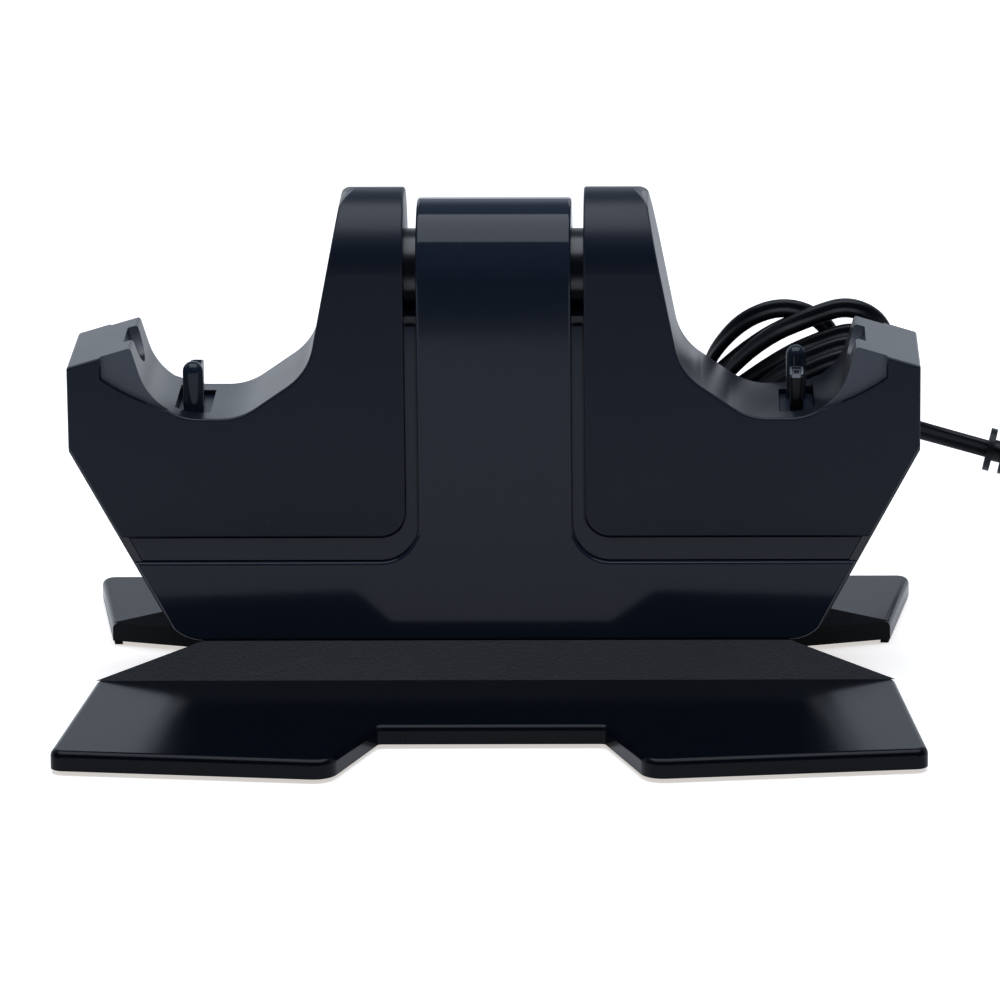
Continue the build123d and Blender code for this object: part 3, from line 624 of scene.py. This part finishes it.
def make_floor():
    bpy.ops.mesh.primitive_plane_add(size=FLOOR_SIZE, location=(0.0, 1.0, 0.0))
    floor = bpy.context.object
    floor.name = "floor"
    made, tree, shader = new_material("floor_white")
    shader.inputs["Base Color"].default_value = (0.80, 0.81, 0.83, 1.0)
    shader.inputs["Roughness"].default_value = 0.7
    shader.inputs["Specular IOR Level"].default_value = 0.1
    path_kind = add_node(tree, "ShaderNodeLightPath")
    glossy = maths(tree, "MULTIPLY", path_kind.outputs["Is Glossy Ray"], FLOOR_GLOSSY_SHARE)
    seen = maths(tree, "MAXIMUM", path_kind.outputs["Is Camera Ray"], glossy)
    tree.links.new(seen, shader.inputs["Emission Strength"])
    shader.inputs["Emission Color"].default_value = (0.62, 0.59, 0.56, 1.0)
    floor.data.materials.append(made)


def make_flag():
    """A dark card beyond the table's front edge, seen only as a reflection in the glossy front."""
    middle = (0.0, BODY_Y - TABLE_EDGE - FLAG_SIZE / 2, 0.001)
    bpy.ops.mesh.primitive_plane_add(size=FLAG_SIZE, location=middle)
    flag = bpy.context.object
    flag.name = "flag"
    made, tree, shader = new_material("flag_black")
    shader.inputs["Base Color"].default_value = (0.004, 0.004, 0.005, 1.0)
    shader.inputs["Roughness"].default_value = 0.9
    shader.inputs["Specular IOR Level"].default_value = 0.0
    flag.data.materials.append(made)
    flag.visible_camera = False
    flag.visible_shadow = False
    flag.visible_diffuse = False


def area_light(name, place, target, size, power, colour):
    data = bpy.data.lights.new(name, "AREA")
    data.shape = "RECTANGLE"
    data.size, data.size_y = size
    data.energy = power
    data.color = colour
    lamp = bpy.data.objects.new(name, data)
    lamp.location = place
    lamp.rotation_euler = (Vector(target) - Vector(place)).to_track_quat("-Z", "Y").to_euler()
    scene.collection.objects.link(lamp)


def make_world():
    """Soft surroundings: dark in front, and behind the dock brightest at the horizon."""
    world = bpy.data.worlds.new("world")
    scene.world = world
    world.use_nodes = True
    tree = world.node_tree
    towards = add_node(tree, "ShaderNodeTexCoord").outputs["Generated"]
    split = add_node(tree, "ShaderNodeSeparateXYZ", Vector=towards)
    rise = add_node(tree, "ShaderNodeMapRange", Value=split.outputs["Z"], From_Min=-0.30, From_Max=-0.08)
    rear = add_node(tree, "ShaderNodeMapRange", Value=split.outputs["Y"], From_Min=-0.3, From_Max=0.5)
    upper = add_node(tree, "ShaderNodeMapRange", Value=split.outputs["Z"], From_Min=0.30, From_Max=0.70)
    lower = add_node(tree, "ShaderNodeMapRange", Value=split.outputs["Z"], From_Min=0.20, From_Max=0.02)
    shade = mix_colours(tree, upper.outputs["Result"], (0.62, 0.69, 0.80, 1.0), (0.18, 0.21, 0.25, 1.0))
    shade = mix_colours(tree, lower.outputs["Result"], shade, (1.05, 1.12, 1.22, 1.0))
    lit = maths(tree, "MULTIPLY", rise.outputs["Result"], rear.outputs["Result"])
    shade = mix_colours(tree, lit, (0.03, 0.036, 0.045, 1.0), shade)
    tree.links.new(shade, tree.nodes["Background"].inputs["Color"])


make_floor()
make_flag()
area_light("top_box", BOX_PLACE, BOX_TARGET, BOX_SIZE, BOX_POWER, BOX_COLOUR)
make_world()
